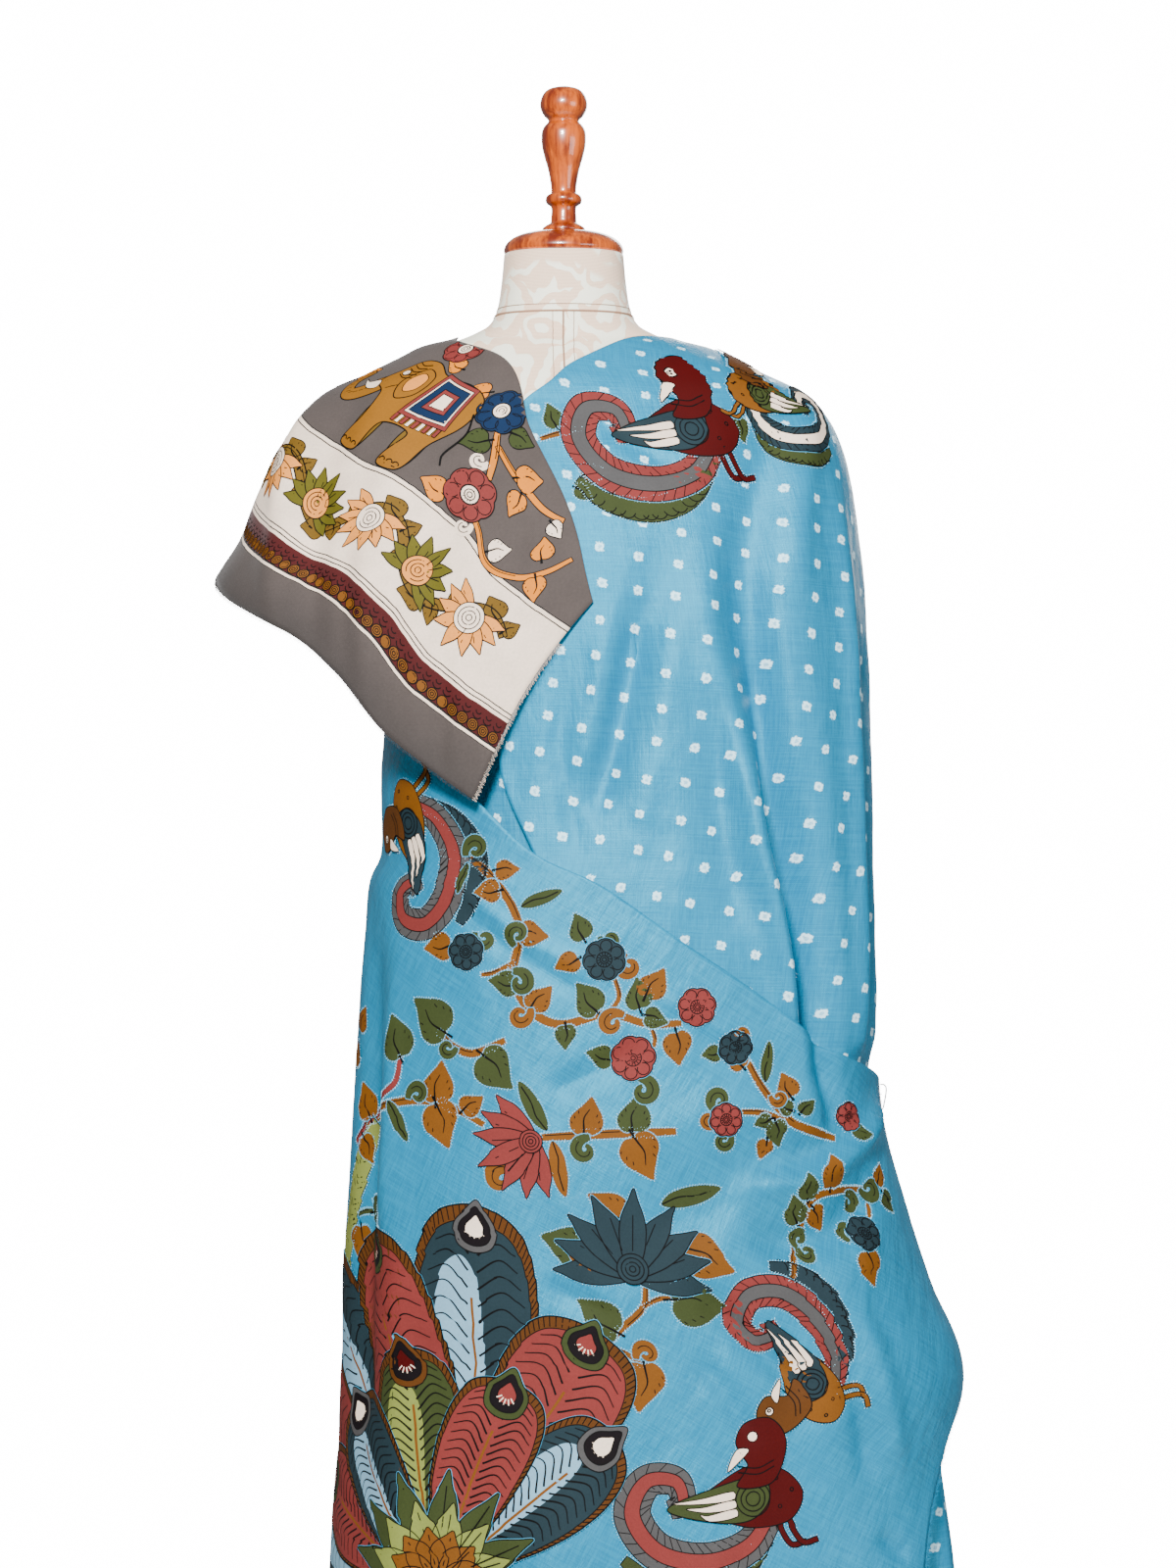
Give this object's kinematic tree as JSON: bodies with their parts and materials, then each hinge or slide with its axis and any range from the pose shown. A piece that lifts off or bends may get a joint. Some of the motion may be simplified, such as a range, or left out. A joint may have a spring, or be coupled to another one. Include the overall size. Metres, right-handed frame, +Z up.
{
  "type": "silk saree on dress form",
  "caption": "Silk saree wound round a limbless dress form on a turned wooden stand, pinned at the hip, with a printed blouse piece over one shoulder.",
  "frame": {"origin": "middle of the stand's underside, on the floor, on the form's axis", "axes": "+Z up, +X to the viewer's right, +Y to the garment's back"},
  "size_m": [0.6718, 0.43, 1.6177],
  "materials": {
    "saree_silk": "soft sheen, slubbed",
    "blouse_cloth": "matt, printed",
    "form_cover": "jacquard",
    "stand_wood": "glossy varnish",
    "pin_steel": "polished wire"
  },
  "bodies": {
    "root": {"form_body": "form_cover", "neck_cap": "stand_wood", "finial": "stand_wood", "stand_pole": "stand_wood", "stand_base": "stand_wood", "saree_underskirt": "saree_silk", "saree_underarm_stretch": "saree_silk", "saree_chest_stretch": "saree_silk", "saree_back_stretch": "saree_silk", "saree_front_wrap": "saree_silk", "blouse_piece": "blouse_cloth", "safety_pin": "pin_steel"}
  },
  "joints": []
}
